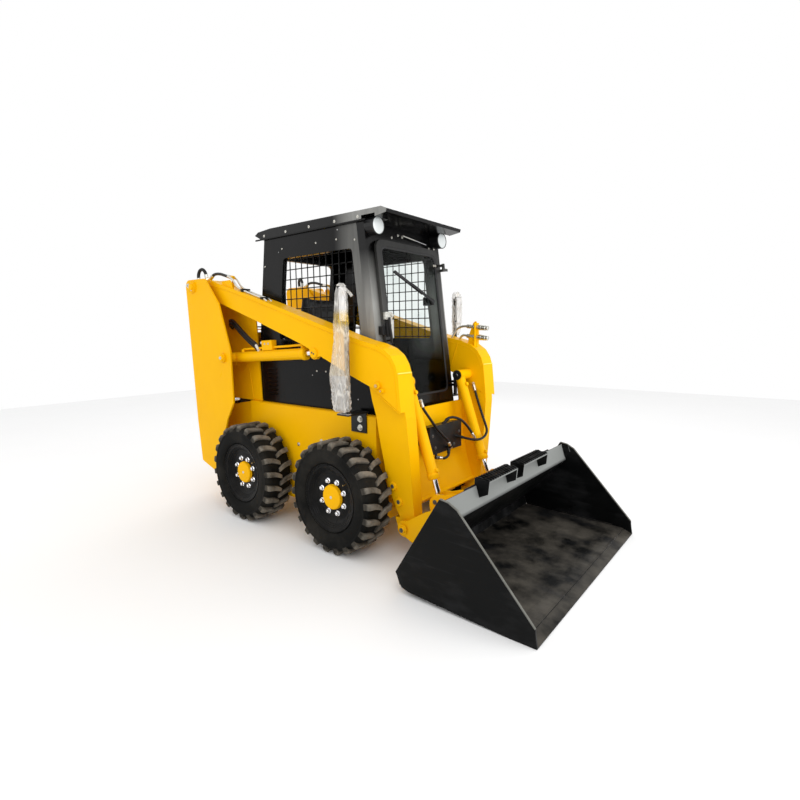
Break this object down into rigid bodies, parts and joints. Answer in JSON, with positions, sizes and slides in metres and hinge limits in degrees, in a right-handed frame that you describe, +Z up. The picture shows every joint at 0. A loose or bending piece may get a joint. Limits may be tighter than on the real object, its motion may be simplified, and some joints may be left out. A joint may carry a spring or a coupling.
{
  "type": "skid steer loader",
  "caption": "Skid steer loader with a closed cab, lift arms over the sides, a dirt bucket on a quick coupler and chunky tyres.",
  "frame": {"origin": "on the ground, under the middle of the machine's length and width", "axes": "+X forward to the bucket, +Y to the operator's left, +Z up"},
  "size_m": [3.046, 1.49, 2.056],
  "materials": {
    "machine_yellow": "gloss enamel",
    "cab_black": "gloss enamel",
    "bucket_black": "satin enamel",
    "rim_black": "gloss enamel",
    "tyre_rubber": "dusty",
    "rod_chrome": "polished",
    "engine_iron": "matt",
    "seat_black": "woven",
    "control_plastic": "matt",
    "door_glass": "clear",
    "lamp_lens": "gloss",
    "hose_rubber": "matt"
  },
  "bodies": {
    "machine": {"cab_floor": "cab_black", "cab_front_frame": "cab_black", "cab_rear": "cab_black", "cab_roof": "cab_black", "cab_side_left": "cab_black", "cab_side_right": "cab_black", "chassis": "machine_yellow", "control_lever_left": "control_plastic", "control_lever_right": "control_plastic", "engine_block": "engine_iron", "front_axle": "machine_yellow", "mirror_left": "control_plastic", "mirror_right": "control_plastic", "rear_axle": "machine_yellow", "seat_back": "seat_black", "seat_cushion": "seat_black", "tower_left": "machine_yellow", "tower_right": "machine_yellow", "window_guard_left": "cab_black", "window_guard_right": "cab_black", "work_light_left": "lamp_lens", "work_light_right": "lamp_lens"},
    "cab_door": {"cab_door": "cab_black", "door_glass": "door_glass"},
    "engine_hood": {"engine_hood": "machine_yellow"},
    "rear_door": {"rear_door": "machine_yellow"},
    "lap_bar": {"lap_bar": "control_plastic"},
    "lift_arms": {"arm_left": "machine_yellow", "arm_right": "machine_yellow", "cross_member": "machine_yellow", "hose_block": "control_plastic", "hose_arm_left": "hose_rubber", "hose_arm_right": "hose_rubber", "hose_tilt_elbow": "hose_rubber", "hose_tilt_far": "hose_rubber", "hose_tilt_loop": "hose_rubber", "hose_tilt_near": "hose_rubber", "hose_tower_left": "hose_rubber", "hose_tower_right": "hose_rubber"},
    "bucket_tilt": {"coupler": "machine_yellow", "bucket": "bucket_black"},
    "lift_left_barrel": {"lift_left_barrel": "machine_yellow", "hose_lift_left": "hose_rubber"},
    "lift_left_rod": {"lift_left_rod": "rod_chrome"},
    "tilt_left_barrel": {"tilt_left_barrel": "machine_yellow"},
    "tilt_left_rod": {"tilt_left_rod": "rod_chrome"},
    "wheel_front_left": {"tyre_front_left": "tyre_rubber", "rim_front_left": "rim_black"},
    "wheel_rear_left": {"tyre_rear_left": "tyre_rubber", "rim_rear_left": "rim_black"},
    "lift_right_barrel": {"lift_right_barrel": "machine_yellow", "hose_lift_right": "hose_rubber"},
    "lift_right_rod": {"lift_right_rod": "rod_chrome"},
    "tilt_right_barrel": {"tilt_right_barrel": "machine_yellow"},
    "tilt_right_rod": {"tilt_right_rod": "rod_chrome"},
    "wheel_front_right": {"tyre_front_right": "tyre_rubber", "rim_front_right": "rim_black"},
    "wheel_rear_right": {"tyre_rear_right": "tyre_rubber", "rim_rear_right": "rim_black"}
  },
  "joints": [
    {"name": "lift_arms", "type": "hinge", "parent": "machine", "child": "lift_arms", "pos_m": [-1.386, 0, 1.683], "axis": [0, -1, 0], "range_deg": [0, 62]},
    {"name": "bucket_tilt", "type": "hinge", "parent": "lift_arms", "child": "bucket_tilt", "pos_m": [0.567, 0, 0.19], "axis": [0, -1, 0], "range_deg": [-102, 30]},
    {"name": "cab_door", "type": "hinge", "parent": "machine", "child": "cab_door", "pos_m": [0.38447, 0.3, 1.4], "axis": [-0.1211, 0, 0.9926], "range_deg": [0, 88]},
    {"name": "rear_door", "type": "hinge", "parent": "machine", "child": "rear_door", "pos_m": [-1.4819, -0.39, 0.9], "axis": [-0.0742, 0, 0.9972], "range_deg": [0, 95]},
    {"name": "engine_hood", "type": "hinge", "parent": "machine", "child": "engine_hood", "pos_m": [-0.883, 0, 1.345], "axis": [0, 1, 0], "range_deg": [0, 60]},
    {"name": "lap_bar", "type": "hinge", "parent": "machine", "child": "lap_bar", "pos_m": [-0.553, 0, 1.25], "axis": [0, -1, 0], "range_deg": [0, 75]},
    {"name": "lift_left_swing", "type": "hinge", "parent": "machine", "child": "lift_left_barrel", "pos_m": [-1.007, 0.47, 1.149], "axis": [0, -1, 0], "range_deg": [0, 64]},
    {"name": "lift_left_slide", "type": "slide", "parent": "lift_left_barrel", "child": "lift_left_rod", "axis": [0.9985, 0, 0.0545], "range_m": [0, 0.676]},
    {"name": "tilt_left_swing", "type": "hinge", "parent": "lift_arms", "child": "tilt_left_barrel", "pos_m": [0.482, 0.285, 1.03], "axis": [0, -1, 0], "range_deg": [-4, 2]},
    {"name": "tilt_left_slide", "type": "slide", "parent": "tilt_left_barrel", "child": "tilt_left_rod", "axis": [0.3192, 0, -0.9477], "range_m": [-0.085, 0.285]},
    {"name": "wheel_front_left", "type": "hinge", "parent": "machine", "child": "wheel_front_left", "pos_m": [0.151, 0.5475, 0.343], "axis": [0, 1, 0], "continuous": true},
    {"name": "wheel_rear_left", "type": "hinge", "parent": "machine", "child": "wheel_rear_left", "pos_m": [-0.757, 0.5475, 0.343], "axis": [0, 1, 0], "continuous": true},
    {"name": "lift_right_swing", "type": "hinge", "parent": "machine", "child": "lift_right_barrel", "pos_m": [-1.007, -0.47, 1.149], "axis": [0, -1, 0], "range_deg": [0, 64]},
    {"name": "lift_right_slide", "type": "slide", "parent": "lift_right_barrel", "child": "lift_right_rod", "axis": [0.9985, 0, 0.0545], "range_m": [0, 0.676]},
    {"name": "tilt_right_swing", "type": "hinge", "parent": "lift_arms", "child": "tilt_right_barrel", "pos_m": [0.482, -0.285, 1.03], "axis": [0, -1, 0], "range_deg": [-4, 2]},
    {"name": "tilt_right_slide", "type": "slide", "parent": "tilt_right_barrel", "child": "tilt_right_rod", "axis": [0.3192, 0, -0.9477], "range_m": [-0.085, 0.285]},
    {"name": "wheel_front_right", "type": "hinge", "parent": "machine", "child": "wheel_front_right", "pos_m": [0.151, -0.5475, 0.343], "axis": [0, 1, 0], "continuous": true},
    {"name": "wheel_rear_right", "type": "hinge", "parent": "machine", "child": "wheel_rear_right", "pos_m": [-0.757, -0.5475, 0.343], "axis": [0, 1, 0], "continuous": true}
  ],
  "couplings": [
    {"joint": "lift_left_swing", "follows": "lift_arms", "ratio": 1.0084},
    {"joint": "lift_left_slide", "follows": "lift_arms", "m_per_rad": 0.6233},
    {"joint": "tilt_left_swing", "follows": "bucket_tilt", "ratio": 0.024},
    {"joint": "tilt_left_slide", "follows": "bucket_tilt", "m_per_rad": -0.159},
    {"joint": "lift_right_swing", "follows": "lift_arms", "ratio": 1.0084},
    {"joint": "lift_right_slide", "follows": "lift_arms", "m_per_rad": 0.6233},
    {"joint": "tilt_right_swing", "follows": "bucket_tilt", "ratio": 0.024},
    {"joint": "tilt_right_slide", "follows": "bucket_tilt", "m_per_rad": -0.159}
  ]
}
